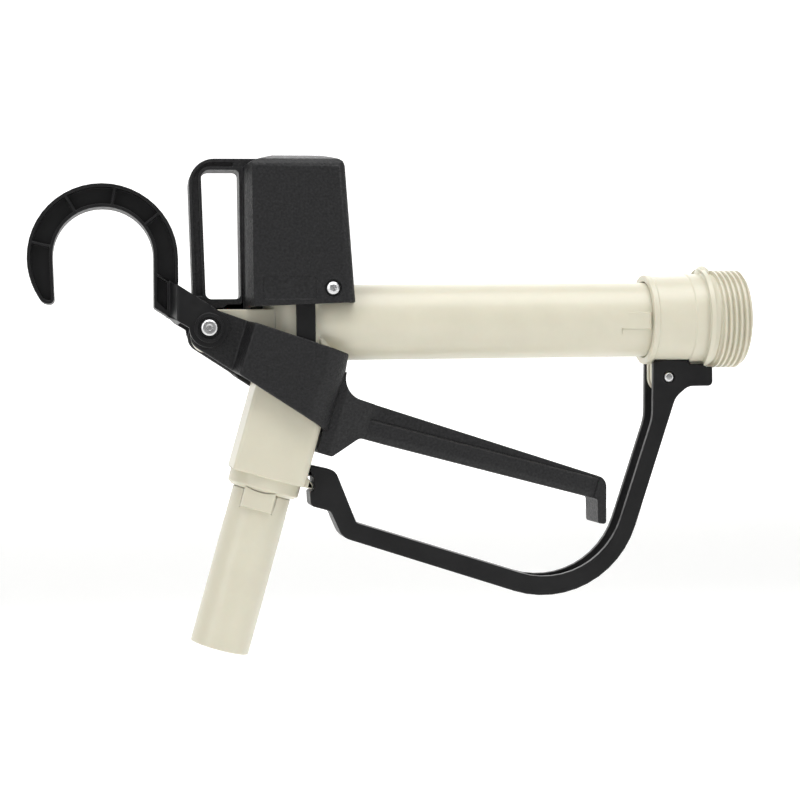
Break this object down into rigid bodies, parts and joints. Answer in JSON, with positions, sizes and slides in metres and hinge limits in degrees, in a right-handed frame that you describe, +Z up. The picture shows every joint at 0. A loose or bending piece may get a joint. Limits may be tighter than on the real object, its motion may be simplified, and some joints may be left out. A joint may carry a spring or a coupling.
{
  "type": "dispensing nozzle",
  "caption": "Hand-operated plastic dispensing nozzle: squeeze lever lifts a spring-closed valve; male hose thread, straight spout, guard bow and hanging hook.",
  "frame": {"origin": "centre of the hose thread's end face", "axes": "+X out of the hose thread along the inlet tube, +Y away from the side with the front screw, +Z up, from the lever towards the cap"},
  "size_m": [0.302, 0.046, 0.2052],
  "materials": {
    "cream_plastic": "moulded cream polypropylene, satin gloss",
    "black_plastic": "moulded black polypropylene with a fine spark-eroded grain",
    "seal_rubber": "smooth black seal rubber",
    "stainless_steel": "bright stainless steel",
    "white_ptfe": "turned white PTFE"
  },
  "bodies": {
    "root": {"valve_body": "cream_plastic", "outlet_spout": "cream_plastic", "spout_o_ring": "seal_rubber", "hose_coupling": "cream_plastic", "coupling_o_ring": "seal_rubber", "seat_ring": "white_ptfe", "bonnet": "cream_plastic", "bonnet_o_ring": "seal_rubber", "spindle_seal": "seal_rubber", "gland_nut": "cream_plastic", "cap": "black_plastic", "cap_screw_front": "stainless_steel", "cap_screw_rear": "stainless_steel", "trigger_guard": "black_plastic", "guard_pin": "stainless_steel", "pivot_pin": "stainless_steel", "pivot_clip": "stainless_steel", "valve_spring": "stainless_steel"},
    "plunger": {"spindle": "stainless_steel", "valve_disc": "cream_plastic", "disc_seal": "seal_rubber", "disc_nut": "stainless_steel", "stirrup": "black_plastic", "spring_plate": "stainless_steel", "spindle_nut": "stainless_steel"},
    "lever": {"lever": "black_plastic"},
    "hook": {"hook": "black_plastic"}
  },
  "joints": [
    {"name": "lever_squeeze", "type": "hinge", "parent": "root", "child": "lever", "pos_m": [-0.2293, 0, -0.0023], "axis": [0, -1, 0], "range_deg": [0, 12], "stiffness_Nm_per_rad": 6, "springref_deg": -20.05},
    {"name": "valve_lift", "type": "slide", "parent": "root", "child": "plunger", "axis": [0, 0, 1], "range_m": [0, 0.0084], "deforming": ["valve_spring"]},
    {"name": "hook_swing", "type": "hinge", "parent": "root", "child": "hook", "pos_m": [-0.2293, 0, -0.0023], "axis": [0, -1, 0], "range_deg": [-5, 60]}
  ],
  "couplings": [
    {"joint": "valve_lift", "follows": "lever_squeeze", "m_per_rad": 0.04}
  ]
}
